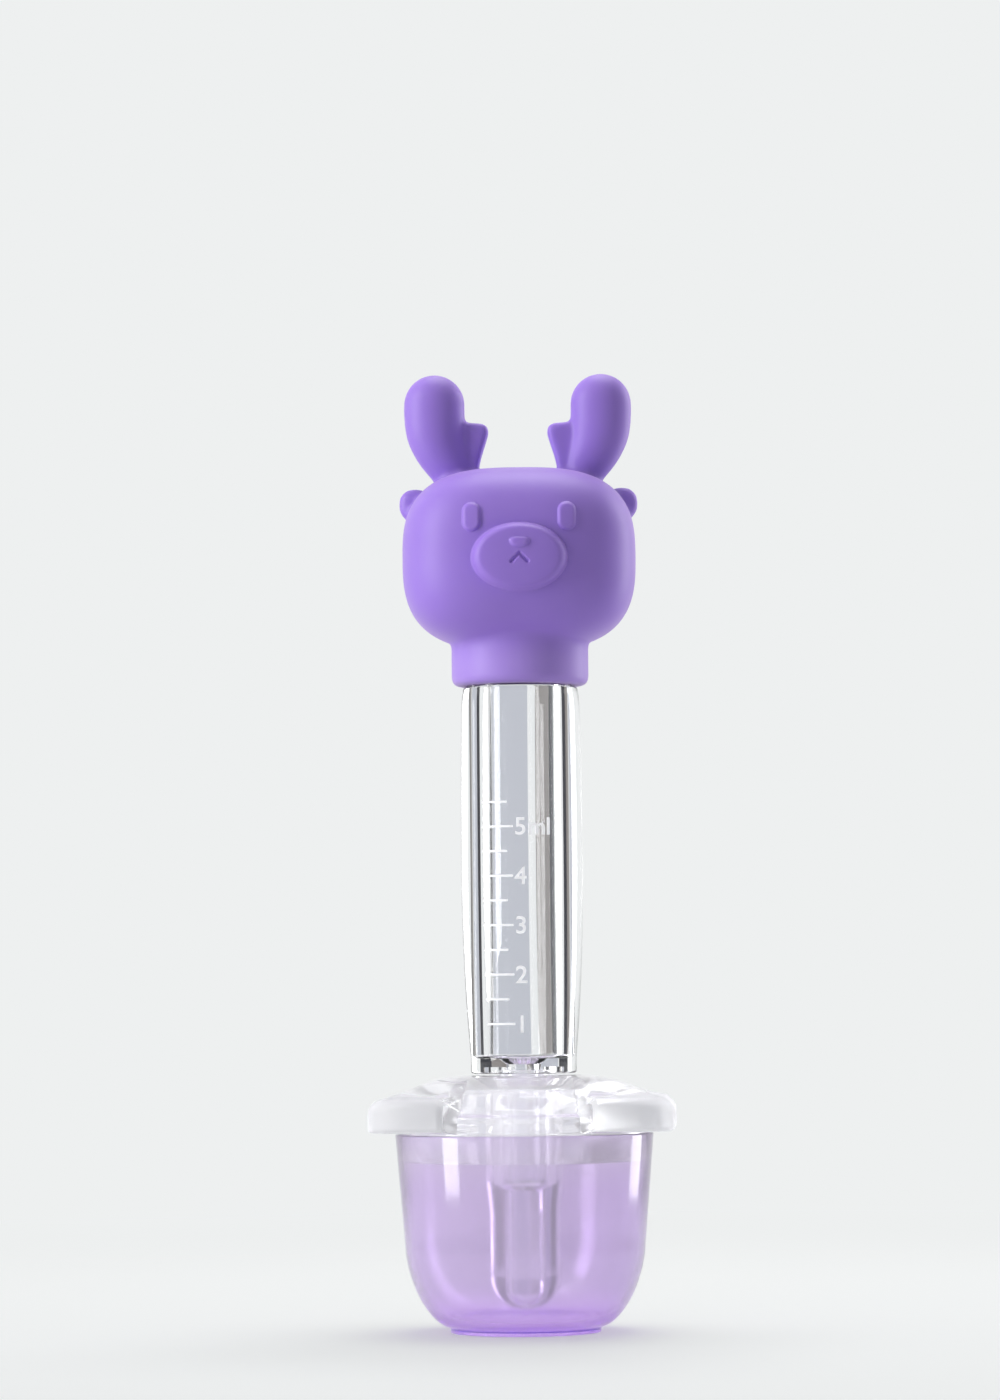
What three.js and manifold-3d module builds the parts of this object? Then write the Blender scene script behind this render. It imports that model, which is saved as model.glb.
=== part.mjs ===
// A squeeze-bulb oral dropper for giving a child liquid medicine: a silicone bulb shaped as a
// young deer's head, a clear graduated barrel with a spout, a soft teat with a mouth shield that
// is pushed over the spout, and a cup that covers the teat and stands the dropper upright.
// Millimetres. +Z is up along the dropper's axis, the deer looks along -Y, and the origin is the
// centre of the cup's foot.

import * as THREE from "three";
import { mergeVertices } from "three/addons/utils/BufferGeometryUtils.js";
import Module from "manifold-3d";

const wasm = await Module();
wasm.setup();

// ---- driving dimensions ---------------------------------------------------------------------

const facets = 40; // flats round every turned surface
const wingFacets = 56; // flats round the wings' squarer outline
const restGap = 0.3; // between two faces that rest on each other
const slideGap = 0.1; // radial clearance of each push fit

const cup = {
  height: 34.9,
  rimRadius: 22.8,
  taper: 1.6, // how much narrower it is where the rounded base begins
  baseHeight: 15.4, // of the rounded base
  baseRoundness: 1.7, // 2 is an elliptical base, 1 a conical one
  footRadius: 13.3,
  footHeight: 0.9,
  footWidth: 1.8, // of the ring that the cup stands on
  footRecess: 0.6,
  floor: 1.5,
  mouthWall: 0.9, // beside the plug
  sideWall: 1.15, // below the ledge under the plug
  ledge: 0.4, // height of the slope from one wall to the other
};

const shield = {
  discRadius: 10.4, // flat top that the barrel stands on
  rise: 9.9, // from the flange's underside to the disc
  overhang: 0.5, // of the flange past the cup's rim
  flangeThickness: 3.2, // of the upright rim between the wings
  shell: 2.2, // thickness of the dome
  halfWidth: 26.8, // to the wings' outer sides
  halfDepth: 23.9, // to the wings' front and back faces
  wingHeight: 6.2, // of their outer edge
  wingEdge: 2.6, // rounding along that edge
  wingSole: 0.6, // chamfer along their lower edge
  outlinePower: 6, // squareness of the wings' outline
  gapMiddle: 10.2, // half the width of the gap between the wings, at the axis
  gapFront: 13, // and where it opens to the front and the back
  turn: -3, // degrees that the shield sits turned on the spout
};

const plug = { depth: 5.2, wall: 1.6 };

const teat = {
  grip: 2.85, // thickness where it is stretched over the spout
  shaftRadius: 6.2,
  bore: 2.55, // radius below the spout
  tipAboveFloor: 1.2,
  tipWall: 2.0,
  outlet: 0.6, // radius of the hole in the tip
  collarHeight: 1.1, // sealing lip that stands in the barrel's recess
  collarWall: 0.55,
};

const barrel = {
  length: 68.2, // from its foot to the shoulder under the bulb
  footRadius: 9.36,
  bellyRadius: 10.8,
  bellyHeight: 44, // above its foot
  shoulderRadius: 10.2,
  shoulderStep: 0.6, // in to the spigot, the end inside the bulb's neck
  edge: 0.5, // chamfer round the foot
  floor: 2.7,
  bore: 6.07, // radius
  spigotLength: 11.6,
  spigotTaper: 0.25,
  spigotEdge: 0.5, // chamfer at its end
  recessDepth: 1.3, // round the spout's root, for the teat's collar
  floorRound: 0.8, // where the bore meets the floor
  throat: 0.9, // chamfer where the floor opens into the spout's bore
};

const spout = {
  radius: 3.9,
  bore: 2.03,
  length: 20.5,
  taper: 0.2, // over its last stretch
  taperLength: 6,
  edge: 0.4, // chamfer at its end
};

const scale = {
  millilitre: 1000, // mm3
  first: 1, // ml at the lowest mark
  last: 5.5,
  step: 0.5,
  lineWidth: 0.5,
  relief: 0.3, // height of the marks above the barrel
  from: -37, // degrees round from the front, to the left
  longTo: -8.5,
  shortTo: -13.5,
  digitHeight: 3.1,
  digitWidth: 1.9,
  digitStroke: 0.42,
};

const neck = { wall: 2.45, lip: 0.8, grip: 9.2 }; // grip: how far it reaches up the spigot

const head = {
  halfWidth: 20.7,
  halfDepth: 17.6,
  halfHeight: 16.1,
  power: 2.9, // squareness of the rounded block
  wall: 2.2,
  aboveNeck: 22.6, // centre above the neck's lip
};

const face = {
  relief: 0.55, // of the eyes, nose and mouth
  eyeApart: 16.6,
  eyeAbove: 6.1,
  eyeWidth: 3.2,
  eyeHeight: 5.2,
  snoutHalfWidth: 8.8,
  snoutHalfHeight: 6.2,
  snoutHalfDepth: 3.4,
  snoutProud: 2.1,
  snoutPower: 2.2,
  snoutAbove: -1.1, // its centre above the head's
  noseWidth: 3.9,
  noseHeight: 1.9,
  noseAbove: 2.3, // above the snout's centre
  mouthWidth: 2.9,
  mouthHeight: 1.5,
  mouthAbove: 0.5, // its point above the snout's centre
  mouthStroke: 0.45,
};

const ear = { radius: 2.95, thickness: 3.2, inset: 2.3, above: 10, back: 1.5, dish: 0.9 };

const antler = {
  rootOut: 10.4,
  bendOut: 14.2,
  tipOut: 14.7,
  bendAbove: 3, // above the crown
  tipAbove: 11.9,
  rootBelow: 3.2,
  rootRadius: 3.3,
  tipRadius: 5.4,
  flatten: 0.84, // front to back
  back: 1.2,
};

const tine = {
  rootOut: 9.2,
  bendOut: 8.2,
  tipOut: 7.4,
  bendAbove: 1.5,
  tipAbove: 6,
  rootBelow: 3.2,
  rootRadius: 1.4,
  tipRadius: 2.2,
  flatten: 0.62,
  back: 1.4,
};

// ---- heights that follow from them ----------------------------------------------------------

const cupFloorTop = cup.footHeight + cup.floor;
const shieldBase = cup.height + restGap;
const discTop = shieldBase + shield.rise;
const plugBottom = shieldBase - plug.depth;
const teatTip = cupFloorTop + teat.tipAboveFloor;
const barrelFoot = discTop + restGap;
const barrelFloorTop = barrelFoot + barrel.floor;
const spoutEnd = barrelFoot - spout.length;
const shoulder = barrelFoot + barrel.length;
const spigotTop = shoulder + barrel.spigotLength;
const neckLip = shoulder + restGap;
const headCentre = neckLip + head.aboveNeck;

const cupSide = cup.rimRadius - cup.taper;
const mouthRadius = cup.rimRadius - cup.mouthWall;
const plugRadius = mouthRadius - slideGap;
const plugBore = plugRadius - plug.wall;
const flangeRadius = cup.rimRadius + shield.overhang;
const spoutHole = spout.radius + slideGap;
const teatRoot = spoutHole + teat.grip;
const recessRadius = spoutHole + teat.collarWall + slideGap;
const spigotRadius = barrel.shoulderRadius - barrel.shoulderStep;
const neckBore = spigotRadius + slideGap;
const neckRadius = neckBore + neck.wall;

// ---- materials ------------------------------------------------------------------------------

const plastic = (color, roughness, opacity) =>
  new THREE.MeshStandardMaterial({
    color,
    roughness,
    metalness: 0,
    opacity,
    transparent: opacity < 1,
  });
const lilacSilicone = plastic(0x9a7bd0, 0.55, 1);
const clearPlastic = plastic(0xf2f5f8, 0.04, 0.3);
const milkySilicone = plastic(0xe9e8f2, 0.3, 0.6);
const violetPlastic = plastic(0xc9aef0, 0.18, 0.5);

// ---- geometry helpers -----------------------------------------------------------------------

const at = (r, z) => new THREE.Vector2(r, z);

// A three.js geometry as a solid that can be joined and cut.
function solid(geometry) {
  const bare = new THREE.BufferGeometry();
  bare.setAttribute("position", geometry.getAttribute("position"));
  bare.setIndex(geometry.getIndex());
  const merged = mergeVertices(bare, 1e-4);
  return new wasm.Manifold(
    new wasm.Mesh({
      numProp: 3,
      vertProperties: merged.attributes.position.array,
      triVerts: new Uint32Array(merged.index.array),
    }),
  );
}

const join = (pieces) => pieces.reduce((all, piece) => all.add(piece));

function part(name, body, material) {
  const { numProp, vertProperties, triVerts } = body.getMesh();
  const geometry = new THREE.BufferGeometry();
  const interleaved = new THREE.InterleavedBuffer(vertProperties, numProp);
  geometry.setAttribute(
    "position",
    new THREE.InterleavedBufferAttribute(interleaved, 3, 0),
  );
  geometry.setIndex(new THREE.BufferAttribute(triVerts, 1));
  const mesh = new THREE.Mesh(geometry.toNonIndexed(), material);
  mesh.geometry.computeVertexNormals();
  mesh.name = name;
  return mesh;
}

// A closed profile of (radius, height) points, turned about +Z.
function turned(profile, around = facets) {
  const ring = [...profile, profile[0]];
  return new THREE.LatheGeometry(ring, around).rotateX(Math.PI / 2);
}

function reshape(geometry, move) {
  const position = geometry.getAttribute("position");
  const point = new THREE.Vector3();
  for (let i = 0; i < position.count; i++) {
    move(point.fromBufferAttribute(position, i));
    position.setXYZ(i, point.x, point.y, point.z);
  }
  return geometry;
}

// A quarter of an ellipse about centre, from its outermost to its lowest point.
function quarter(centre, width, height, steps, power = 2) {
  return Array.from({ length: steps + 1 }, (_, i) => {
    const angle = (i / steps) * (Math.PI / 2);
    const out = i < steps ? Math.cos(angle) ** (2 / power) : 0;
    return at(centre.x + width * out, centre.y - height * Math.sin(angle) ** (2 / power));
  });
}

// A block with rounded faces: |x/a|^p + |y/b|^p + |z/c|^p = 1.
function roundedBlock(size, power, around, upward) {
  const ball = new THREE.SphereGeometry(1, around, upward).rotateX(Math.PI / 2);
  return reshape(ball, (p) => {
    const sum =
      Math.abs(p.x / size.x) ** power +
      Math.abs(p.y / size.y) ** power +
      Math.abs(p.z / size.z) ** power;
    p.multiplyScalar(sum ** (-1 / power));
  });
}

// A shape drawn in X and Z, made into a prism that runs from y = front to y = back.
function prism(shape, front, back, curveSegments) {
  return new THREE.ExtrudeGeometry(shape, {
    depth: back - front,
    bevelEnabled: false,
    curveSegments,
  })
    .rotateX(Math.PI / 2)
    .translate(0, back, 0);
}

// ---- the cup --------------------------------------------------------------------------------

function makeCup() {
  const base = at(cup.footRadius, cup.baseHeight);
  const bowl = cupSide - cup.footRadius;
  const ledgeZ = plugBottom - cup.ledge;
  const slope = cup.taper / (cup.height - cup.baseHeight);
  const innerLedge =
    cupSide + slope * (ledgeZ - cup.ledge - cup.baseHeight) - cup.sideWall;
  const footInner = cup.footRadius - cup.footWidth;
  const outerDepth = cup.baseHeight - cup.footHeight;
  const innerDepth = cup.baseHeight - cupFloorTop;
  const round = cup.baseRoundness;
  const outside = quarter(base, bowl, outerDepth, 6, round).reverse();
  const inside = quarter(base, bowl - cup.sideWall, innerDepth, 6, round);
  return turned([
    at(0, cup.footRecess),
    at(footInner, cup.footRecess),
    at(footInner, 0),
    at(cup.footRadius, 0),
    ...outside,
    at(cup.rimRadius, cup.height),
    at(mouthRadius, cup.height),
    at(mouthRadius, ledgeZ),
    at(Math.min(innerLedge, mouthRadius - restGap), ledgeZ - cup.ledge),
    ...inside,
    at(0, cupFloorTop),
  ]);
}

// ---- the teat and its shield ----------------------------------------------------------------

const flangeTop = shieldBase + shield.flangeThickness;

// The dome's outside between the wings, from the disc down to the flange.
const domeCurve = new THREE.CubicBezierCurve(
  at(shield.discRadius, discTop),
  at(shield.discRadius + 4.6, discTop - 0.8),
  at(flangeRadius - 3.8, flangeTop + 3.5),
  at(flangeRadius - 0.8, flangeTop),
);

// The dome's underside, from the teat's root out to the plug.
const undersideCurve = new THREE.QuadraticBezierCurve(
  at(teatRoot, discTop - shield.shell),
  at(plugBore - 4, discTop - shield.shell - 0.9),
  at(plugBore, shieldBase + 1.4),
);

function turnedTeat() {
  const dome = domeCurve.getPoints(7).reverse();
  const underside = undersideCurve.getPoints(4).reverse();
  const tipCentre = at(0, teatTip + teat.shaftRadius);
  const outsideTip = quarter(tipCentre, teat.shaftRadius, teat.shaftRadius, 5);
  outsideTip[outsideTip.length - 1].set(teat.outlet, teatTip);
  const boreEnd = teatTip + teat.tipWall;
  return turned([
    at(teat.outlet, boreEnd),
    ...outsideTip.reverse(),
    at(teat.shaftRadius, spoutEnd - 4),
    at(teatRoot, spoutEnd),
    ...underside.reverse(),
    at(plugBore, plugBottom),
    at(plugRadius, plugBottom),
    at(plugRadius, shieldBase),
    at(flangeRadius, shieldBase),
    at(flangeRadius, flangeTop - 0.4),
    ...dome,
    at(spoutHole + teat.collarWall, discTop),
    at(spoutHole + teat.collarWall, discTop + teat.collarHeight),
    at(spoutHole, discTop + teat.collarHeight),
    at(spoutHole, spoutEnd - slideGap),
    at(teat.bore, spoutEnd - slideGap - 0.8),
    at(teat.bore, boreEnd + teat.bore),
  ]);
}

// Radius of the wings' outline in a direction, as a share of the half width.
function outline(direction) {
  const across = Math.abs(Math.cos(direction) / shield.halfWidth);
  const along = Math.abs(Math.sin(direction) / shield.halfDepth);
  const radius =
    (across ** shield.outlinePower + along ** shield.outlinePower) **
    (-1 / shield.outlinePower);
  return radius / shield.halfWidth;
}

// The two wings: a broader dome whose rim follows their outline, hollowed below, with a gap
// between them at the front and the back for the nose and chin.
function makeWings() {
  const side = shield.halfWidth;
  const top = shieldBase + shield.wingHeight;
  const round = shield.wingEdge;
  const edge = quarter(at(side - round, top - round), round, -round, 3);
  const button = turned([
    at(0, shieldBase),
    at(side - shield.wingSole, shieldBase),
    at(side, shieldBase + shield.wingSole),
    ...edge,
    at(side - round - 1.6, top + 0.25),
    at(side - round - 3.2, top + 0.9),
    at(side - round - 5, top + 1.9),
    at(side - round - 9, discTop - 1),
    at(shield.discRadius + 3, discTop - 0.6),
    at(shield.discRadius + 2, discTop - 1.2),
    at(0, discTop - 1.2),
  ], wingFacets);
  reshape(button, (p) => {
    const reach = Math.hypot(p.x, p.y) / side;
    const factor = 1 + (outline(Math.atan2(p.y, p.x)) - 1) * reach ** 2;
    p.x *= factor;
    p.y *= factor;
  });
  const hollow = turned([
    at(0, shieldBase - 1),
    at(plugBore, shieldBase - 1),
    ...undersideCurve.getPoints(4).reverse(),
    at(0, discTop - shield.shell),
  ]);
  const [middle, front, end] = [shield.gapMiddle, shield.gapFront, shield.halfDepth + 1];
  const waist = new THREE.Shape();
  waist.moveTo(-front, -end);
  waist.lineTo(front, -end);
  waist.quadraticCurveTo(middle * 2 - front, 0, front, end);
  waist.lineTo(-front, end);
  waist.quadraticCurveTo(front - middle * 2, 0, -front, -end);
  const gap = new THREE.ExtrudeGeometry(waist, {
    depth: shield.rise,
    bevelEnabled: false,
    curveSegments: 8,
  }).translate(0, 0, flangeTop);
  return solid(button).subtract(solid(hollow)).subtract(solid(gap));
}

const makeTeat = () => solid(turnedTeat()).add(makeWings());

// ---- the barrel -----------------------------------------------------------------------------

const barrelSide = new THREE.SplineCurve([
  at(barrel.footRadius, barrelFoot + barrel.floor),
  at((barrel.footRadius + barrel.bellyRadius) / 2 + 0.12, barrelFoot + 14.5),
  at(barrel.bellyRadius - 0.1, barrelFoot + 0.64 * barrel.bellyHeight),
  at(barrel.bellyRadius, barrelFoot + barrel.bellyHeight),
  at((barrel.shoulderRadius + barrel.bellyRadius) / 2 + 0.06, shoulder - 5),
  at(barrel.shoulderRadius, shoulder),
]);
const sideSteps = 10;

// The barrel's outer radius at a height, read off the same flats that the solid has.
function barrelRadius(z) {
  const side = barrelSide.getPoints(sideSteps);
  const i = Math.max(1, side.findIndex((p) => p.y > z));
  const share = (z - side[i - 1].y) / (side[i].y - side[i - 1].y);
  return THREE.MathUtils.lerp(side[i - 1].x, side[i].x, share);
}

function turnedBarrel() {
  const foot = barrelFoot;
  const recessTop = foot + barrel.recessDepth;
  return turned([
    at(spout.bore, spoutEnd),
    at(spout.radius - spout.taper - spout.edge, spoutEnd),
    at(spout.radius - spout.taper, spoutEnd + spout.edge),
    at(spout.radius, spoutEnd + spout.taperLength),
    at(spout.radius, recessTop),
    at(recessRadius, recessTop),
    at(recessRadius, foot),
    at(barrel.footRadius - barrel.edge, foot),
    at(barrel.footRadius, foot + barrel.edge),
    ...barrelSide.getPoints(sideSteps),
    at(spigotRadius, shoulder),
    at(spigotRadius - barrel.spigotTaper, spigotTop - barrel.spigotEdge),
    at(spigotRadius - barrel.spigotTaper - barrel.spigotEdge, spigotTop),
    at(barrel.bore, spigotTop),
    at(barrel.bore, barrelFloorTop + barrel.floorRound),
    at(barrel.bore - barrel.floorRound, barrelFloorTop),
    at(spout.bore + barrel.throat, barrelFloorTop),
    at(spout.bore, barrelFloorTop - barrel.throat),
  ]);
}

// Height of a volume's mark: what the spout and the bore hold below it adds up to that volume.
function markHeight(millilitres) {
  const spoutHolds = Math.PI * spout.bore ** 2 * (barrelFloorTop - spoutEnd);
  const boreArea = Math.PI * barrel.bore ** 2;
  return barrelFloorTop + (millilitres * scale.millilitre - spoutHolds) / boreArea;
}

// A raised line round the barrel, between two directions counted from the front.
function tick(z, from, to) {
  const start = THREE.MathUtils.degToRad(from - 90);
  const end = THREE.MathUtils.degToRad(to - 90);
  const outer = barrelRadius(z) + scale.relief;
  const inner = barrelRadius(z) - 1;
  const band = new THREE.Shape()
    .absarc(0, 0, outer, start, end, false)
    .absarc(0, 0, inner, end, start, true);
  return new THREE.ExtrudeGeometry(band, {
    depth: scale.lineWidth,
    bevelEnabled: false,
    curveSegments: 3,
  }).translate(0, 0, z - scale.lineWidth / 2);
}

// Strokes of each character in a box one wide and one high.
const strokes = {
  1: [[[0.2, 0.78], [0.6, 1], [0.6, 0]]],
  2: [[[0.05, 0.75], [0.3, 1], [0.75, 1], [0.95, 0.72], [0.05, 0], [1, 0]]],
  3: [[[0.05, 1], [0.9, 1], [0.45, 0.58], [0.95, 0.42], [0.85, 0.06], [0.4, 0], [0.02, 0.16]]],
  4: [[[0.72, 0], [0.72, 1], [0.02, 0.3], [1, 0.3]]],
  5: [[[0.9, 1], [0.15, 1], [0.1, 0.56], [0.7, 0.62], [0.95, 0.3], [0.65, 0], [0.03, 0.1]]],
  m: [
    [[0, 0], [0, 0.66]],
    [[0, 0.55], [0.3, 0.66], [0.5, 0.5], [0.5, 0]],
    [[0.5, 0.5], [0.8, 0.66], [1, 0.5], [1, 0]],
  ],
  l: [[[0, 0], [0, 1]]],
};

// A character on the barrel, its middle at a direction from the front.
function character(letter, width, z, direction) {
  const thick = scale.digitStroke;
  const deep = scale.relief + 1;
  const face = barrelRadius(z) + scale.relief;
  const bars = strokes[letter].flatMap((line) =>
    line.slice(1).map((end, i) => {
      const [x0, z0] = [(line[i][0] - 0.5) * width, (line[i][1] - 0.5) * scale.digitHeight];
      const [x1, z1] = [(end[0] - 0.5) * width, (end[1] - 0.5) * scale.digitHeight];
      return new THREE.BoxGeometry(Math.hypot(x1 - x0, z1 - z0) + thick, deep, thick)
        .rotateY(-Math.atan2(z1 - z0, x1 - x0))
        .translate((x0 + x1) / 2, deep / 2 - face, z + (z0 + z1) / 2);
    }),
  );
  return join(bars.map(solid)).rotate([0, 0, direction]);
}

function makeBarrel() {
  let body = solid(turnedBarrel());
  const count = Math.round((scale.last - scale.first) / scale.step) + 1;
  for (let i = 0; i < count; i++) {
    const volume = scale.first + i * scale.step;
    const whole = Number.isInteger(volume);
    const z = markHeight(volume);
    body = body.add(solid(tick(z, scale.from, whole ? scale.longTo : scale.shortTo)));
    if (whole) body = body.add(character(volume, scale.digitWidth, z, 0));
    if (volume === 5) {
      body = body.add(character("m", 2.1, z, 16));
      body = body.add(character("l", 0, z, 25.5));
    }
  }
  return body;
}

// ---- the bulb -------------------------------------------------------------------------------

const headSize = new THREE.Vector3(head.halfWidth, head.halfDepth, head.halfHeight);
const snoutSize = new THREE.Vector3(
  face.snoutHalfWidth,
  face.snoutHalfDepth,
  face.snoutHalfHeight,
);
const snoutY = face.snoutHalfDepth - face.snoutProud - head.halfDepth;

// The head's block and the snout's, grown by a distance.
const headBlock = (grow, around, upward) =>
  roundedBlock(headSize.clone().addScalar(grow), head.power, around, upward);
const snoutBlock = (grow) =>
  roundedBlock(snoutSize.clone().addScalar(grow), face.snoutPower, 24, 12).translate(
    0,
    snoutY,
    face.snoutAbove,
  );

// A bar with round ends and a bent, tapering form: a turned profile laid along a curve.
function horn(form, side) {
  const crown = head.halfHeight;
  const path = new THREE.QuadraticBezierCurve3(
    new THREE.Vector3(side * form.rootOut, form.back, crown - form.rootBelow),
    new THREE.Vector3(side * form.bendOut, form.back, crown + form.bendAbove),
    new THREE.Vector3(side * form.tipOut, form.back, crown + form.tipAbove),
  );
  const steps = 4;
  const profile = [at(0, 0)];
  for (let i = 0; i <= steps; i++) {
    const share = i / steps;
    profile.push(at(THREE.MathUtils.lerp(form.rootRadius, form.tipRadius, share ** 0.6), share));
  }
  for (let i = 1; i <= 3; i++) {
    const angle = (i / 3) * (Math.PI / 2);
    profile.push(at(form.tipRadius * Math.cos(angle), 1 + Math.sin(angle)));
  }
  profile[profile.length - 1].x = 0;
  const bar = new THREE.LatheGeometry([...profile, profile[0]], 16).rotateX(Math.PI / 2);
  return reshape(bar, (p) => {
    const share = Math.min(p.z, 1);
    const beyond = (p.z - share) * form.tipRadius; // the round end
    const along = path.getTangent(share);
    const across = new THREE.Vector3(along.z, 0, -along.x);
    const out = p.x;
    const depth = p.y * form.flatten;
    p.copy(path.getPoint(share)).addScaledVector(along, beyond).addScaledVector(across, out);
    p.y += depth;
  });
}

function makeEar(side) {
  const disc = roundedBlock(
    new THREE.Vector3(ear.radius, ear.thickness / 2, ear.radius),
    2.2,
    16,
    8,
  );
  const dish = new THREE.SphereGeometry(ear.radius * 0.72, 12, 8)
    .scale(1, 0.7, 1)
    .translate(0, -ear.thickness / 2 - ear.radius * 0.5 + ear.dish, 0);
  return solid(disc)
    .subtract(solid(dish))
    .translate([side * (head.halfWidth - ear.inset), ear.back, ear.above]);
}

function eyeShape(side) {
  const [x, z] = [(side * face.eyeApart) / 2, face.eyeAbove];
  const r = face.eyeWidth / 2;
  const straight = face.eyeHeight / 2 - r;
  return new THREE.Shape()
    .absarc(x, z + straight, r, 0, Math.PI, false)
    .absarc(x, z - straight, r, Math.PI, 2 * Math.PI, false);
}

function noseShape() {
  const [w, h] = [face.noseWidth / 2, face.noseHeight];
  const top = face.snoutAbove + face.noseAbove + h / 2;
  const shape = new THREE.Shape();
  shape.moveTo(-w * 0.6, top);
  shape.quadraticCurveTo(-w * 1.15, top, -w * 0.85, top - h * 0.45);
  shape.quadraticCurveTo(0, top - h * 1.5, w * 0.85, top - h * 0.45);
  shape.quadraticCurveTo(w * 1.15, top, w * 0.6, top);
  return shape;
}

// The small pointed mouth, cut as two bars that meet at the top.
function mouthShape() {
  const [w, h, t] = [face.mouthWidth / 2, face.mouthHeight, face.mouthStroke];
  const top = face.snoutAbove + face.mouthAbove;
  const shape = new THREE.Shape();
  shape.moveTo(0, top + t * 0.7);
  shape.lineTo(-w, top - h + t * 0.5);
  shape.lineTo(-w + t * 0.7, top - h);
  shape.lineTo(0, top - t * 0.6);
  shape.lineTo(w - t * 0.7, top - h);
  shape.lineTo(w, top - h + t * 0.5);
  return shape;
}

function makeBulb() {
  const front = -head.halfDepth - 6;
  const grown = solid(headBlock(face.relief, 36, 20));
  const eyes = [-1, 1].map((side) =>
    solid(prism(eyeShape(side), front, -head.halfDepth / 2, 5)).intersect(grown),
  );
  const nose = solid(prism(noseShape(), front, snoutY, 4)).intersect(
    solid(snoutBlock(face.relief)),
  );
  const mouth = solid(prism(mouthShape(), front, snoutY, 1)).subtract(
    solid(snoutBlock(-face.relief)),
  );
  const outer = join([
    solid(headBlock(0, 36, 20)),
    solid(snoutBlock(0)),
    nose,
    ...eyes,
    ...[-1, 1].map(makeEar),
    ...[-1, 1].map((side) => solid(horn(antler, side))),
    ...[-1, 1].map((side) => solid(horn(tine, side))),
  ]).subtract(mouth);

  const neckTop = neckLip - headCentre + neck.grip;
  const lipZ = neckLip - headCentre;
  const sleeve = turned([
    at(0, lipZ),
    at(neckRadius - neck.lip, lipZ),
    at(neckRadius, lipZ + neck.lip),
    at(neckRadius, neckTop),
    at(0, neckTop),
  ]);
  const bore = turned([
    at(0, lipZ - 1),
    at(neckBore, lipZ - 1),
    at(neckBore, neckTop + 1),
    at(0, neckTop + 1),
  ]);
  return outer
    .add(solid(sleeve))
    .subtract(solid(headBlock(-head.wall, 24, 14)))
    .subtract(solid(bore))
    .translate([0, 0, headCentre]);
}

// ---- the assembly ---------------------------------------------------------------------------

const dropper = new THREE.Group();
dropper.name = "oral_dropper";
dropper.add(part("cup", solid(makeCup()), violetPlastic));
const teatShield = part("teat_shield", makeTeat(), milkySilicone);
teatShield.rotation.z = THREE.MathUtils.degToRad(shield.turn);
dropper.add(teatShield);
dropper.add(part("barrel", makeBarrel(), clearPlastic));
dropper.add(part("squeeze_bulb", makeBulb(), lilacSilicone));

export default dropper;
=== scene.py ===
import math
import bpy
from mathutils import Matrix, Vector


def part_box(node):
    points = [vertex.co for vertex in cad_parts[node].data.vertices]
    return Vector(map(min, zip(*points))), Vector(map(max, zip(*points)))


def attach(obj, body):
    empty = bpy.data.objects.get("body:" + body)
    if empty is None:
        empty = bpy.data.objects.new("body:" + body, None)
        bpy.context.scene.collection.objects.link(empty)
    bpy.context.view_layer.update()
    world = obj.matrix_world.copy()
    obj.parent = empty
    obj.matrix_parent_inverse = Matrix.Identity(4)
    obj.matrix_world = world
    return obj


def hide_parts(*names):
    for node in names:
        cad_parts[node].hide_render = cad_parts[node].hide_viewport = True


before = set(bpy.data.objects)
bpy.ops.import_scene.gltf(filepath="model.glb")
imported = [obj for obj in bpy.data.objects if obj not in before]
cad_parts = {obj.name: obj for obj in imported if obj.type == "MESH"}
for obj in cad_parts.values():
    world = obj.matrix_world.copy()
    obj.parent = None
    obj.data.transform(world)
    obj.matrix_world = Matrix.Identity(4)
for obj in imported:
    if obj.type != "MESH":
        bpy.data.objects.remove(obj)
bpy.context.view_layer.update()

mm = 0.001
turnSteps = 160  # flats round a turned piece

cupLow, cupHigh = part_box("cup")
shieldLow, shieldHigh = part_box("teat_shield")
barrelLow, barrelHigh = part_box("barrel")
bulbLow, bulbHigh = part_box("squeeze_bulb")


def deselectAll():
    if bpy.context.object and bpy.context.object.mode != "OBJECT":
        bpy.ops.object.mode_set(mode="OBJECT")
    bpy.ops.object.select_all(action="DESELECT")


def choose(piece):
    deselectAll()
    bpy.context.view_layer.objects.active = piece
    piece.select_set(True)


def editMode(piece, select="SELECT"):
    choose(piece)
    bpy.ops.object.mode_set(mode="EDIT")
    bpy.ops.mesh.select_all(action=select)


def objectMode():
    bpy.ops.object.mode_set(mode="OBJECT")


def named(name):
    piece = bpy.context.object
    piece.name = name
    piece.data.name = name
    return piece


def settle(piece):
    choose(piece)
    bpy.ops.object.transform_apply(location=True, rotation=True, scale=True)


def cleanUp(piece, distance=0.002 * mm):
    editMode(piece)
    bpy.ops.mesh.remove_doubles(threshold=distance)
    bpy.ops.mesh.normals_make_consistent(inside=False)
    objectMode()
    return piece


def modify(piece, kind, **values):
    choose(piece)
    modifier = piece.modifiers.new(kind.title(), kind)
    for key, value in values.items():
        setattr(modifier, key, value)
    bpy.ops.object.modifier_apply(modifier=modifier.name)
    return piece


def combine(piece, other, operation):
    modify(piece, "BOOLEAN", object=other, operation=operation, solver="MANIFOLD")
    bpy.data.objects.remove(other)
    return piece


# shades a piece smooth, but for edges past this many degrees
def smooth(piece, angle):
    choose(piece)
    bpy.ops.object.shade_smooth_by_angle(angle=math.radians(angle))


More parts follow.
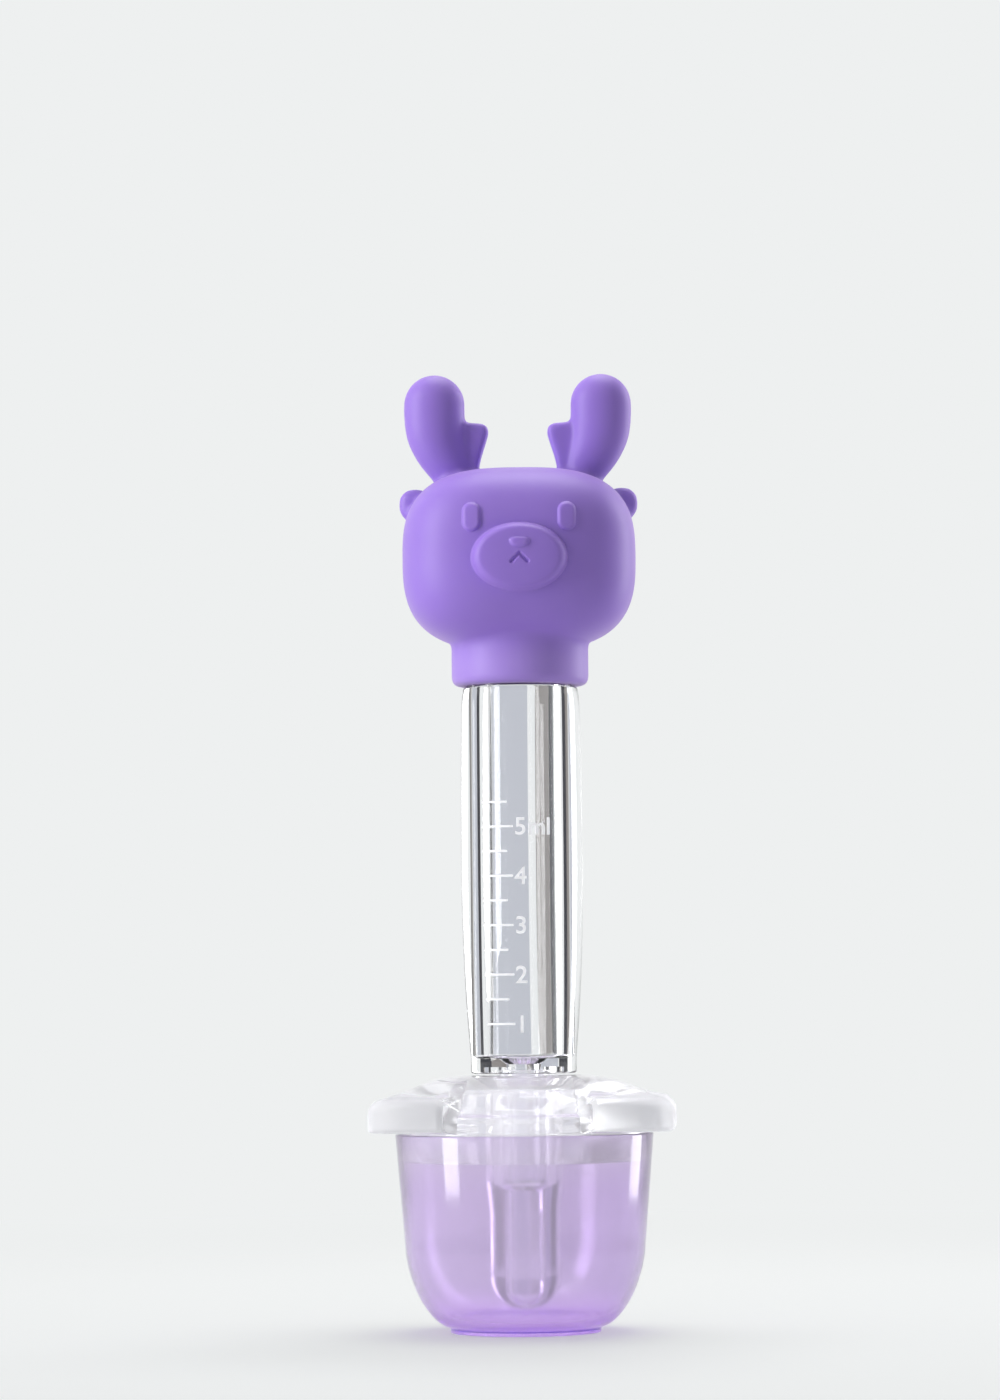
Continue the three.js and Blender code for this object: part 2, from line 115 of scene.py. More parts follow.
# one vertex, extruded from point to point, then spun about the dropper's axis
def spinOutline(name, outline, steps=turnSteps):
    deselectAll()
    bpy.ops.mesh.primitive_plane_add(size=mm)
    piece = named(name)
    editMode(piece)
    bpy.ops.mesh.merge(type="CENTER")
    points = [Vector((radius * mm, 0, height * mm)) for radius, height in outline]
    bpy.ops.transform.translate(value=points[0])
    for start, end in zip(points, points[1:]):
        bpy.ops.mesh.extrude_region_move(TRANSFORM_OT_translate={"value": end - start})
    if points[0].x > 0 and points[-1].x > 0:
        bpy.ops.mesh.select_all(action="DESELECT")
        objectMode()
        piece.data.vertices[0].select = True
        piece.data.vertices[len(points) - 1].select = True
        bpy.ops.object.mode_set(mode="EDIT")
        bpy.ops.mesh.edge_face_add()
    bpy.ops.mesh.select_all(action="SELECT")
    bpy.ops.mesh.spin(steps=steps, angle=2 * math.pi, center=(0, 0, 0), axis=(0, 0, 1))
    objectMode()
    return cleanUp(piece)


# part of an ellipse, between two angles in degrees
def arc(centreR, centreZ, radiusR, radiusZ, fromAngle, toAngle, steps):
    turn = (toAngle - fromAngle) / steps
    angles = [math.radians(fromAngle + turn * i) for i in range(steps + 1)]
    return [(centreR + radiusR * math.cos(a), centreZ + radiusZ * math.sin(a)) for a in angles]


# a smooth curve through points, each span in a few steps
def through(points, steps):
    ends = [points[0], *points, points[-1]]
    curve = []
    for a, b, c, d in zip(ends, ends[1:], ends[2:], ends[3:]):
        for i in range(steps):
            t = i / steps
            curve.append(
                tuple(
                    0.5
                    * (
                        2 * q
                        + (r - p) * t
                        + (2 * p - 5 * q + 4 * r - s) * t**2
                        + (3 * q - p - 3 * r + s) * t**3
                    )
                    for p, q, r, s in zip(a, b, c, d)
                )
            )
    return [*curve, points[-1]]


# slow waves and a fine grain, the small unevenness that every moulding has
def makeMouldedSurface():
    group = bpy.data.node_groups.new("MouldedSurface", "ShaderNodeTree")
    for name, kind, start in [
        ("Vector", "NodeSocketVector", None),
        ("Wave Scale", "NodeSocketFloat", 60.0),
        ("Grain Scale", "NodeSocketFloat", 2500.0),
        ("Grain", "NodeSocketFloat", 0.5),
    ]:
        socket = group.interface.new_socket(name, in_out="INPUT", socket_type=kind)
        if start is not None:
            socket.default_value = start
    for name in ("Height", "Mottle"):
        group.interface.new_socket(name, in_out="OUTPUT", socket_type="NodeSocketFloat")
    nodes, links = group.nodes, group.links
    inside = nodes.new("NodeGroupInput")
    outside = nodes.new("NodeGroupOutput")
    wave = nodes.new("ShaderNodeTexNoise")
    wave.inputs["Detail"].default_value = 2
    grain = nodes.new("ShaderNodeTexNoise")
    grain.inputs["Detail"].default_value = 3
    blend = nodes.new("ShaderNodeMix")
    links.new(inside.outputs["Vector"], wave.inputs["Vector"])
    links.new(inside.outputs["Vector"], grain.inputs["Vector"])
    links.new(inside.outputs["Wave Scale"], wave.inputs["Scale"])
    links.new(inside.outputs["Grain Scale"], grain.inputs["Scale"])
    links.new(inside.outputs["Grain"], blend.inputs["Factor"])
    links.new(wave.outputs["Fac"], blend.inputs["A"])
    links.new(grain.outputs["Fac"], blend.inputs["B"])
    links.new(blend.outputs["Result"], outside.inputs["Height"])
    links.new(wave.outputs["Fac"], outside.inputs["Mottle"])
    return group


mouldedSurface = makeMouldedSurface()


# a material whose colour and roughness drift a little between two values each
def mouldedMaterial(name, look):
    material = bpy.data.materials.new(name)
    material.use_nodes = True
    nodes, links = material.node_tree.nodes, material.node_tree.links
    shader = nodes["Principled BSDF"]
    for socket, value in look["shader"].items():
        shader.inputs[socket].default_value = value
    place = nodes.new("ShaderNodeTexCoord")
    surface = nodes.new("ShaderNodeGroup")
    surface.node_tree = mouldedSurface
    surface.inputs["Wave Scale"].default_value = look["waveScale"]
    surface.inputs["Grain Scale"].default_value = look["grainScale"]
    surface.inputs["Grain"].default_value = look["grain"]
    links.new(place.outputs["Object"], surface.inputs["Vector"])
    colour = nodes.new("ShaderNodeMix")
    colour.data_type = "RGBA"
    colour.inputs["A"].default_value = (*look["colours"][0], 1)
    colour.inputs["B"].default_value = (*look["colours"][1], 1)
    links.new(surface.outputs["Mottle"], colour.inputs["Factor"])
    links.new(colour.outputs["Result"], shader.inputs["Base Color"])
    rough = nodes.new("ShaderNodeMapRange")
    rough.inputs["To Min"].default_value = look["roughness"][0]
    rough.inputs["To Max"].default_value = look["roughness"][1]
    links.new(surface.outputs["Height"], rough.inputs["Value"])
    links.new(rough.outputs["Result"], shader.inputs["Roughness"])
    bump = nodes.new("ShaderNodeBump")
    bump.inputs["Strength"].default_value = look["bump"]
    bump.inputs["Distance"].default_value = 0.05 * mm
    links.new(surface.outputs["Height"], bump.inputs["Height"])
    links.new(bump.outputs["Normal"], shader.inputs["Normal"])
    return material


lilacSilicone = mouldedMaterial(
    "LilacSilicone",
    {
        "colours": [(0.293, 0.172, 0.635), (0.316, 0.189, 0.675)],
        "roughness": (0.42, 0.55),
        "bump": 0.2,
        "waveScale": 90,
        "grainScale": 3500,
        "grain": 0.7,
        "shader": {
            "Subsurface Weight": 0.3,
            "Subsurface Radius": (1.0, 0.7, 1.0),
            "Subsurface Scale": 2.0 * mm,
            "Sheen Weight": 0.25,
            "Sheen Roughness": 0.4,
            "Sheen Tint": (1, 0.75, 1, 1),
            "IOR": 1.42,
        },
    },
)


# a colour mix whose share grows from nothing at one height to its most at a lower one
def mixDownwards(material, high, low, most):
    nodes, links = material.node_tree.nodes, material.node_tree.links
    place = nodes.new("ShaderNodeTexCoord")
    split = nodes.new("ShaderNodeSeparateXYZ")
    share = nodes.new("ShaderNodeMapRange")
    share.interpolation_type = "SMOOTHSTEP"
    share.inputs["From Min"].default_value = high * mm
    share.inputs["From Max"].default_value = low * mm
    share.inputs["To Max"].default_value = most
    mix = nodes.new("ShaderNodeMix")
    mix.data_type = "RGBA"
    links.new(place.outputs["Object"], split.inputs["Vector"])
    links.new(split.outputs["Z"], share.inputs["Value"])
    links.new(share.outputs["Result"], mix.inputs["Factor"])
    return mix


# painted light on the neck: paler from this height above the lip down to this one, by this share
# and colour
lipPaintedLight = {"high": 10, "low": 3, "most": 0.8, "colour": (0.38, 0.25, 0.7)}


# painted light: the bulb's silicone is painted paler towards the lip, for the light that shows
# through the sleeve where it is stretched thin over the spigot
def paleTowardsLip(material):
    links = material.node_tree.links
    base = material.node_tree.nodes["Principled BSDF"].inputs["Base Color"]
    usual = base.links[0].from_socket
    lip = bulbLow.z / mm
    paintedLight = mixDownwards(
        material, lip + lipPaintedLight["high"], lip + lipPaintedLight["low"], lipPaintedLight["most"]
    )
    paintedLight.inputs["B"].default_value = (*lipPaintedLight["colour"], 1)
    links.new(usual, paintedLight.inputs["A"])
    links.new(paintedLight.outputs["Result"], base)


paleTowardsLip(lilacSilicone)
clearPlastic = mouldedMaterial(
    "ClearPlastic",
    {
        "colours": [(0.97, 0.975, 0.985), (0.985, 0.985, 0.99)],
        "roughness": (0.01, 0.03),
        "bump": 0.02,
        "waveScale": 40,
        "grainScale": 400,
        "grain": 0.1,
        "shader": {"Transmission Weight": 1.0, "IOR": 1.5},
    },
)
markPlastic = mouldedMaterial(
    "MarkPlastic",
    {
        "colours": [(0.95, 0.95, 0.97), (0.98, 0.98, 0.99)],
        "roughness": (0.45, 0.6),
        "bump": 0.05,
        "waveScale": 200,
        "grainScale": 3000,
        "grain": 0.5,
        "shader": {
            "Transmission Weight": 0.6,
            # painted light: a faint glow keeps the marks bright white from the front
            "Emission Color": (0.96, 0.97, 1, 1),
            "Emission Strength": 0.12,
            "IOR": 1.5,
        },
    },
)
tintedPlastic = mouldedMaterial(
    "TintedPlastic",
    {
        "colours": [(0.925, 0.865, 0.98), (0.945, 0.895, 0.985)],
        "roughness": (0.08, 0.13),
        "bump": 0.05,
        "waveScale": 50,
        "grainScale": 1500,
        "grain": 0.3,
        "shader": {
            "Transmission Weight": 0.87,
            "Specular IOR Level": 0.35,
            "IOR": 1.49,
        },
    },
)


tint = {"colour": (0.62, 0.27, 0.98), "density": 200}


# the plastic's tint deepens where light crosses more of it
def tintThrough(material):
    nodes, links = material.node_tree.nodes, material.node_tree.links
    absorb = nodes.new("ShaderNodeVolumeAbsorption")
    absorb.inputs["Color"].default_value = (*tint["colour"], 1)
    absorb.inputs["Density"].default_value = tint["density"]
    links.new(absorb.outputs["Volume"], nodes["Material Output"].inputs["Volume"])


tintThrough(tintedPlastic)
clearSilicone = mouldedMaterial(
    "ClearSilicone",
    {
        "colours": [(0.965, 0.965, 0.985), (0.975, 0.975, 0.99)],
        "roughness": (0.05, 0.1),
        "bump": 0.08,
        "waveScale": 60,
        "grainScale": 1200,
        "grain": 0.3,
        "shader": {
            "Transmission Weight": 0.86,
            # painted light: a faint glow lightens the clear silicone, above what its lamps give
            # it
            "Emission Color": (0.95, 0.92, 1, 1),
            "Emission Strength": 0.07,
            "IOR": 1.41,
        },
    },
)
frostedSilicone = mouldedMaterial(
    "FrostedSilicone",
    {
        "colours": [(0.93, 0.93, 0.955), (0.95, 0.95, 0.97)],
        "roughness": (0.45, 0.58),
        "bump": 0.15,
        "waveScale": 60,
        "grainScale": 2500,
        "grain": 0.6,
        "shader": {"Transmission Weight": 0.6, "IOR": 1.41},
    },
)


# lamps shine through a clear wall, dimmed by this colour at each face
def letLampsThrough(material, colour):
    nodes, links = material.node_tree.nodes, material.node_tree.links
    path = nodes.new("ShaderNodeLightPath")
    through = nodes.new("ShaderNodeBsdfTransparent")
    through.inputs["Color"].default_value = (*colour, 1)
    mix = nodes.new("ShaderNodeMixShader")
    links.new(path.outputs["Is Shadow Ray"], mix.inputs["Fac"])
    links.new(nodes["Principled BSDF"].outputs["BSDF"], mix.inputs[1])
    links.new(through.outputs["BSDF"], mix.inputs[2])
    links.new(mix.outputs["Shader"], nodes["Material Output"].inputs["Surface"])


# painted glow of the cup: from this height down to the foot, from a faint colour to a bright
# violet
footPaintedGlow = {
    "high": 9,
    "above": (0.03, 0.03, 0.02),
    "foot": (0.74, 0.44, 0.96),
    "strength": 0.1,
}


# painted light: the cup glows towards its foot, standing in for the light that the wall carries
# down and lets out round the foot
def gatherLight(material):
    shader = material.node_tree.nodes["Principled BSDF"]
    glow = mixDownwards(material, footPaintedGlow["high"], 0, 1)
    glow.inputs["A"].default_value = (*footPaintedGlow["above"], 1)
    glow.inputs["B"].default_value = (*footPaintedGlow["foot"], 1)
    material.node_tree.links.new(glow.outputs["Result"], shader.inputs["Emission Color"])
    shader.inputs["Emission Strength"].default_value = footPaintedGlow["strength"]


gatherLight(tintedPlastic)
letLampsThrough(tintedPlastic, (0.86, 0.86, 0.87))
letLampsThrough(clearSilicone, (0.94, 0.94, 0.95))
letLampsThrough(frostedSilicone, (0.86, 0.86, 0.88))
letLampsThrough(clearPlastic, (0.96, 0.96, 0.97))
letLampsThrough(markPlastic, (0.9, 0.9, 0.92))


def finishPiece(piece, body, materials, replaced=None):
    piece.data.materials.clear()
    for material in materials:
        piece.data.materials.append(material)
    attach(piece, body)
    if replaced:
        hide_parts(replaced)


cup = {
    "rim": cupHigh.x / mm,
    "height": cupHigh.z / mm,
    "side": cupHigh.x / mm - 1.6,
    "baseHeight": 15.4,
    "roundness": 1.7,
    "foot": 13.3,
    "footHeight": 0.9,
    "footWidth": 1.8,
    "recess": 0.6,
    "floor": 2.4,
    "mouthWall": 0.9,
    "sideWall": 1.15,
    "ledge": cupHigh.z / mm - 4.9,
    "ledgeEase": (1, 5),  # above and below the ledge
    "edge": 0.3,
    "corner": 0.2,
    "curveSteps": 18,
}


# the rounded base from the side down to the foot, this far inside the outer face
def cupBase(inset, depth):
    width = cup["side"] - cup["foot"] - inset
    power = 2 / cup["roundness"]
    points = []
    for i in range(cup["curveSteps"]):
        a = math.pi / 2 * i / cup["curveSteps"]
        out, drop = width * math.cos(a) ** power, depth * math.sin(a) ** power
        points.append((cup["foot"] + out, cup["baseHeight"] - drop))
    return [*points, (cup["foot"], cup["baseHeight"] - depth)]


def makeCup():
    outside = cupBase(0, cup["baseHeight"] - cup["footHeight"])[::-1]
    inside = cupBase(cup["sideWall"], cup["baseHeight"] - cup["floor"])
    mouth = cup["rim"] - cup["mouthWall"]
    slope = (cup["rim"] - cup["side"]) / (cup["height"] - cup["baseHeight"])
    easeAbove, easeBelow = cup["ledgeEase"]
    underLedge = cup["ledge"] - easeBelow
    narrow = cup["side"] + slope * (underLedge - cup["baseHeight"]) - cup["sideWall"]
    edge, top = cup["edge"], cup["height"] - cup["edge"]
    outline = [
        (0, cup["recess"]),
        (cup["foot"] - cup["footWidth"], cup["recess"]),
        (cup["foot"] - cup["footWidth"], 0),
        (cup["foot"], 0),
        *outside,
        *arc(cup["rim"] - edge, top, edge, edge, 0, 90, 4),
        *arc(mouth + edge, top, edge, edge, 90, 180, 4),
        (mouth, cup["ledge"] + easeAbove),
        (min(narrow, mouth - edge), underLedge),
        *inside,
        (0, cup["floor"]),
    ]
    piece = spinOutline("FeedingCup", outline)
    modify(piece, "BEVEL", width=cup["corner"] * mm, segments=3, limit_method="ANGLE",
           angle_limit=math.radians(40))
    smooth(piece, 40)
    finishPiece(piece, "cup", [tintedPlastic], "cup")


shield = {
    "base": cupHigh.z / mm + 0.3,
    "disc": shieldHigh.z / mm - 1.1,
    "discRadius": 10.4,
    "flange": 23.3,
    "flangeHeight": 3.2,
    "flangeEdges": (0.4, 0.7),  # below and above
    "shell": 2.2,
    "halfWidth": 26.8,
    "halfDepth": 23.9,
    "wingHeight": 6.2,
    "wingEdge": 0.9,
    "wingInner": 20.4,
    "dome": [(21.2, 39.7), (19.2, 41.4), (16.2, 43.3), (13.0, 44.6)],
    "sideRound": 4.6,
    "sideRise": 3.8,
    "faceRound": 0.8,
    "sideFocus": (3.1, 1.5),  # how soon the side's rounding and its slope give way
    "lifts": [(0.05, 0.13), (0.25, 0.45), (0.5, 0.75), (0.75, 0.93)],
    "sole": 0.5,
    "outlinePower": 6.0,
    "gapMiddle": 10.2,
    "gapFront": 13.0,
    "gapSoftness": 0.55,
    "turn": -3,
    "plugDepth": 5.2,
    "plugRadius": cupHigh.x / mm - 1.0,
    "plugWall": 1.6,
    "plugEdges": (0.3, 0.4),
    "ceilingDrop": 0.2,
    "root": 6.85,
    "shaft": 6.2,
    "socket": 4.0,
    "bore": 2.55,
    "tip": shieldLow.z / mm,
    "tipWall": 2.0,
    "outlet": 0.6,
    "collarWall": 0.55,
    "collarHeight": 1.1,
    "collarEdges": (0.15, 0.2),
    "spoutPlay": 0.1,
    "spoutEnd": barrelLow.z / mm,
    "profileSteps": 84,
    "frostedTo": 40,
    "turns": 384,
}


def shieldOutline(direction):
    power = shield["outlinePower"]
    across = abs(math.cos(direction) / shield["halfWidth"]) ** power
    along = abs(math.sin(direction) / shield["halfDepth"]) ** power
    return (across + along) ** (-1 / power)


def easeBetween(low, high, value):
    t = min(max((value - low) / (high - low), 0), 1)
    return t * t * (3 - 2 * t)


# points the same distance apart along a line
def evenly(points, count):
    lengths = [0]
    for start, end in zip(points, points[1:]):
        lengths.append(lengths[-1] + math.dist(start, end))
    result = []
    span = 1
    for i in range(count + 1):
        want = lengths[-1] * i / count
        while span < len(points) - 1 and lengths[span] < want:
            span += 1
        (r0, z0), (r1, z1) = points[span - 1], points[span]
        share = (want - lengths[span - 1]) / max(lengths[span] - lengths[span - 1], 1e-9)
        result.append((r0 + (r1 - r0) * share, z0 + (z1 - z0) * share))
    return result


# from the underside's edge up the rim and over to the disc: the dome between the wings
def domeProfile():
    rim, base = shield["flange"], shield["base"]
    top = base + shield["flangeHeight"]
    under, over = shield["flangeEdges"]
    return evenly(
        [
            *arc(rim - under, base + under, under, under, -90, 0, 3),
            *arc(rim - over, top - over, over, over, 0, 60, 4),
            *through(
                [
                    (rim - 0.9, top + 0.1),
                    *shield["dome"],
                    (shield["discRadius"], shield["disc"]),
                ],
                8,
            ),
        ],
        shield["profileSteps"],
    )


# the same line over a wing, softly rounded at the sides and crisper on the front and back
def wingProfile(direction):
    side = shieldOutline(direction)
    base, disc = shield["base"], shield["disc"]
    top = base + shield["wingHeight"]
    soft, sideways = (abs(math.cos(direction)) ** power for power in shield["sideFocus"])
    edge = shield["faceRound"] + (shield["sideRound"] - shield["faceRound"]) * soft
    rise = shield["faceRound"] + (shield["sideRise"] - shield["faceRound"]) * soft
    edgeRise = min(edge, rise)
    under = shield["wingEdge"]
    sole = shield["sole"] * (1 - soft)
    inside = side - edge - shield["discRadius"]
    over = []
    for (share, lift), (r, z) in zip(
        shield["lifts"], [(shield["wingInner"], top + 0.1), *shield["dome"][1:]]
    ):
        sideR, sideZ = side - edge - share * inside, top + lift * (disc - top)
        over.append((r + (sideR - r) * sideways, z + (sideZ - z) * sideways))
    return evenly(
        [
            *arc(side - under, base + sole + under, under, under, -90, 0, 4),
            *arc(side - edge, top - edgeRise, edge, edgeRise, 0, 84, 12),
            *through([*over, (shield["discRadius"], disc)], 8),
        ],
        shield["profileSteps"],
    )


def makeShield():
    base, disc = shield["base"], shield["disc"]
    dome = domeProfile()
    tip, shaft, root, bore = shield["tip"], shield["shaft"], shield["root"], shield["bore"]
    spoutEnd, socket = shield["spoutEnd"], shield["socket"]
    socketEnd = spoutEnd - shield["spoutPlay"]
    plug = shield["plugRadius"]
    plugBore = plug - shield["plugWall"]
    plugEnd = base - shield["plugDepth"]
    plugIn, plugUp = shield["plugEdges"]
    ceiling = disc - shield["shell"] - shield["ceilingDrop"]
    collar = socket + shield["collarWall"]
    collarTop = disc + shield["collarHeight"]
    inner, outer = shield["collarEdges"]
    boreEnd = tip + shield["tipWall"]
    below = [
        (plug, base),
        (plug, plugEnd + plugUp),
        (plug - plugIn, plugEnd),
        (plugBore + plugIn, plugEnd),
        (plugBore, plugEnd + plugUp),
        *through(
            [
                (plugBore, base + 0.6),
                (19.2, base + 2.6),
                (15.5, ceiling - 1.2),
                (11.0, ceiling),
                (root + 0.9, ceiling),
                (root, ceiling - 0.9),
            ],
            5,
        ),
        *through(
            [
                (root, spoutEnd + 8),
                (root, spoutEnd + 1),
                (root - 0.25, spoutEnd - 1.5),
                (shaft, spoutEnd - 4.5),
            ],
            5,
        ),
        *arc(0, tip + shaft, shaft - 0.05, shaft, 0, -84, 16),
        (shield["outlet"], tip),
        (shield["outlet"], boreEnd),
        *arc(0, boreEnd + bore, bore, bore, -70, 0, 8),
        (bore, socketEnd - 0.8),
        (socket, socketEnd),
        (socket, collarTop - inner),
        (socket + inner, collarTop),
        (collar - outer, collarTop),
        (collar, collarTop - outer),
        (collar, disc),
    ]
    piece = spinOutline("TeatShield", [*below[::-1], *dome], shield["turns"])

    # the wings rise from the dome on both sides of the waist-shaped gap
    mesh = piece.data
    wings = [0.0] * len(mesh.vertices)
    flare = shield["gapFront"] - shield["gapMiddle"]
    places = {(round(r, 3), round(z, 3)): i for i, (r, z) in enumerate(dome)}
    profiles = {}
    for vertex in mesh.vertices:
        x, y, z = (c / mm for c in vertex.co)
        index = places.get((round(math.hypot(x, y), 3), round(z, 3)))
        if index is None:
            continue
        direction = math.atan2(y, x)
        key = round(direction, 4)
        if key not in profiles:
            profiles[key] = wingProfile(direction)
        radius, height = profiles[key][index]
        wx, wy = radius * math.cos(direction), radius * math.sin(direction)
        gap = shield["gapMiddle"] + flare * (abs(wy) / shield["halfDepth"]) ** 2
        soft = shield["gapSoftness"]
        share = easeBetween(gap - soft, gap + soft, abs(wx))
        vertex.co = vertex.co.lerp(Vector((wx, wy, height)) * mm, share)
        wings[vertex.index] = share * (index < shield["frostedTo"])
    finishPiece(piece, "teat", [clearSilicone, frostedSilicone], "teat_shield")
    for polygon in mesh.polygons:
        polygon.material_index = int(min(wings[i] for i in polygon.vertices) > 0.5)
    mesh.transform(Matrix.Rotation(math.radians(shield["turn"]), 4, "Z"))
    smooth(piece, 40)


barrel = {
    "foot": 45.4,
    "footRadius": 9.36,
    "footEdge": 0.45,
    "bellyRadius": 10.8,
    "bellyHeight": 44.0,
    "shoulder": 113.6,
    "shoulderRadius": 10.2,
    "shoulderEdge": 0.4,
    "spigot": 9.6,
    "spigotEdge": (0.5, 0.5),
    "spigotTaper": 0.25,
    "top": barrelHigh.z / mm,
    "bore": 6.07,
    "floor": 48.1,
    "floorEdge": 0.8,
    "throat": 0.9,
    "recess": 1.3,
    "recessRadius": 4.75,
    "spout": 3.9,
    "spoutTaper": (0.2, 6),
    "spoutEdge": 0.4,
    "spoutBore": 2.03,
    "spoutEnd": barrelLow.z / mm,
}

barrelSide = through(
    [
        (barrel["footRadius"], barrel["foot"] + 2.7),
        ((barrel["footRadius"] + barrel["bellyRadius"]) / 2 + 0.12, barrel["foot"] + 14.5),
        (barrel["bellyRadius"] - 0.1, barrel["foot"] + 0.64 * barrel["bellyHeight"]),
        (barrel["bellyRadius"], barrel["foot"] + barrel["bellyHeight"]),
        ((barrel["shoulderRadius"] + barrel["bellyRadius"]) / 2 + 0.06, barrel["shoulder"] - 5),
        (barrel["shoulderRadius"], barrel["shoulder"] - 0.5),
    ],
    8,
)


def barrelRadius(height):
    for (r0, z0), (r1, z1) in zip(barrelSide, barrelSide[1:]):
        if z0 <= height <= z1:
            return r0 + (r1 - r0) * (height - z0) / (z1 - z0)
    return barrelSide[0][0]


def makeBarrel():
    foot, floor, top = barrel["foot"], barrel["floor"], barrel["top"]
    spout, spoutBore, spoutEnd = barrel["spout"], barrel["spoutBore"], barrel["spoutEnd"]
    taper, taperLength = barrel["spoutTaper"]
    spoutEdge, footEdge, floorEdge = barrel["spoutEdge"], barrel["footEdge"], barrel["floorEdge"]
    shoulder, shoulderEdge = barrel["shoulder"], barrel["shoulderEdge"]
    spigotTop = barrel["spigot"] - barrel["spigotTaper"]
    spigotIn, spigotDown = barrel["spigotEdge"]
    outline = [
        (spoutBore, spoutEnd),
        (spout - taper - spoutEdge, spoutEnd),
        (spout - taper, spoutEnd + spoutEdge),
        (spout, spoutEnd + taperLength),
        (spout, foot + barrel["recess"]),
        (barrel["recessRadius"], foot + barrel["recess"]),
        (barrel["recessRadius"], foot),
        *arc(barrel["footRadius"] - footEdge, foot + footEdge, footEdge, footEdge, -90, 0, 5),
        *barrelSide,
        *arc(
            barrel["shoulderRadius"] - shoulderEdge, shoulder - shoulderEdge,
            shoulderEdge, shoulderEdge, 10, 90, 5,
        ),
        (barrel["spigot"], shoulder),
        (spigotTop, top - spigotDown),
        (spigotTop - spigotIn, top),
        (barrel["bore"], top),
        *arc(barrel["bore"] - floorEdge, floor + floorEdge, floorEdge, floorEdge, 0, -90, 5),
        (spoutBore + barrel["throat"], floor),
        (spoutBore, floor - barrel["throat"]),
    ]
    piece = spinOutline("MeasuringBarrel", outline)
    smooth(piece, 30)
    finishPiece(piece, "barrel", [clearPlastic], "barrel")


scale = {
    # millilitres, mm and, for where a line starts and ends, degrees from the front
    "first": 1,
    "last": 5.5,
    "step": 0.5,
    "relief": 0.25,
    "thickness": 0.38,
    "from": -39,
    "longTo": -8.5,
    "shortTo": -14,
    "digitHeight": 3.1,
    "digitShare": 0.72,  # of a letter's own size that a digit is high
    "sunk": 0.04,
    "barEdge": 0.09,
    "barStep": 0.8,
    "digitEdge": 0.05,
    "digitAt": -0.25,
    "unitFrom": 0.95,
}


def markHeight(volume):
    spoutHolds = math.pi * barrel["spoutBore"] ** 2 * (barrel["floor"] - barrel["spoutEnd"])
    return barrel["floor"] + (volume * 1000 - spoutHolds) / (math.pi * barrel["bore"] ** 2)


# lays a flat piece, drawn in X and Z and standing out to -Y, round the barrel's side
def wrapOnBarrel(piece):
    for vertex in piece.data.vertices:
        x, y, z = (c / mm for c in vertex.co)
        radius = barrelRadius(z)
        direction = x / radius
        out = radius - y
        vertex.co = Vector((out * math.sin(direction), -out * math.cos(direction), z)) * mm


def makeBar(left, right, low, high):
    deselectAll()
    bpy.ops.mesh.primitive_cube_add(
        size=1,
        location=((left + right) / 2 * mm, -scale["relief"] / 2 * mm, (low + high) / 2 * mm),
    )
    piece = named("Bar")
    piece.scale = (
        (right - left) * mm, (scale["relief"] + scale["sunk"]) * mm, (high - low) * mm
    )
    settle(piece)
    editMode(piece)
    bpy.ops.mesh.subdivide(number_cuts=max(1, int((right - left) / scale["barStep"])))
    objectMode()
    modify(piece, "BEVEL", width=scale["barEdge"] * mm, segments=2, limit_method="ANGLE")
    wrapOnBarrel(piece)
    return piece


# a number or a unit, at its place across the front and its height
def makeWord(text, across, height):
    deselectAll()
    bpy.ops.object.text_add(location=(0, 0, 0))
    word = bpy.context.object
    word.data.body = text
    word.data.align_x = "LEFT" if len(text) > 1 else "CENTER"
    word.data.align_y = "CENTER"
    word.data.size = scale["digitHeight"] / scale["digitShare"] * mm
    word.data.extrude = scale["relief"] / 2 * mm
    word.data.bevel_depth = scale["digitEdge"] * mm
    word.data.bevel_resolution = 1
    word.rotation_euler = (math.pi / 2, 0, 0)
    bpy.ops.object.convert(target="MESH")
    word = named("Word" + text)
    settle(word)
    low = min(v.co.z for v in word.data.vertices)
    high = max(v.co.z for v in word.data.vertices)
    shift = Vector((across * mm, -scale["relief"] / 2 * mm, height * mm - (low + high) / 2))
    word.data.transform(Matrix.Translation(shift))
    modify(word, "TRIANGULATE")
    wrapOnBarrel(word)
    return word


def joinAll(pieces, name):
    deselectAll()
    for piece in pieces:
        piece.select_set(True)
    bpy.context.view_layer.objects.active = pieces[0]
    bpy.ops.object.join()
    return named(name)


def makeScale():
    bars = []
    words = []
    count = round((scale["last"] - scale["first"]) / scale["step"]) + 1
    for i in range(count):
        volume = scale["first"] + i * scale["step"]
        z = markHeight(volume)
        radius = barrelRadius(z)
        whole = volume == int(volume)
        left = math.radians(scale["from"]) * radius
        right = math.radians(scale["longTo"] if whole else scale["shortTo"]) * radius
        bars.append(makeBar(left, right, z - scale["thickness"] / 2, z + scale["thickness"] / 2))
        if whole:
            words.append(makeWord(str(int(volume)), scale["digitAt"], z))
    words.append(makeWord("ml", scale["unitFrom"], markHeight(int(scale["last"]))))
    lines = joinAll(bars, "Graduations")
    smooth(lines, 40)
    finishPiece(lines, "barrel", [markPlastic])
    numbers = joinAll(words, "DoseNumbers")
    smooth(numbers, 40)
    finishPiece(numbers, "barrel", [markPlastic])


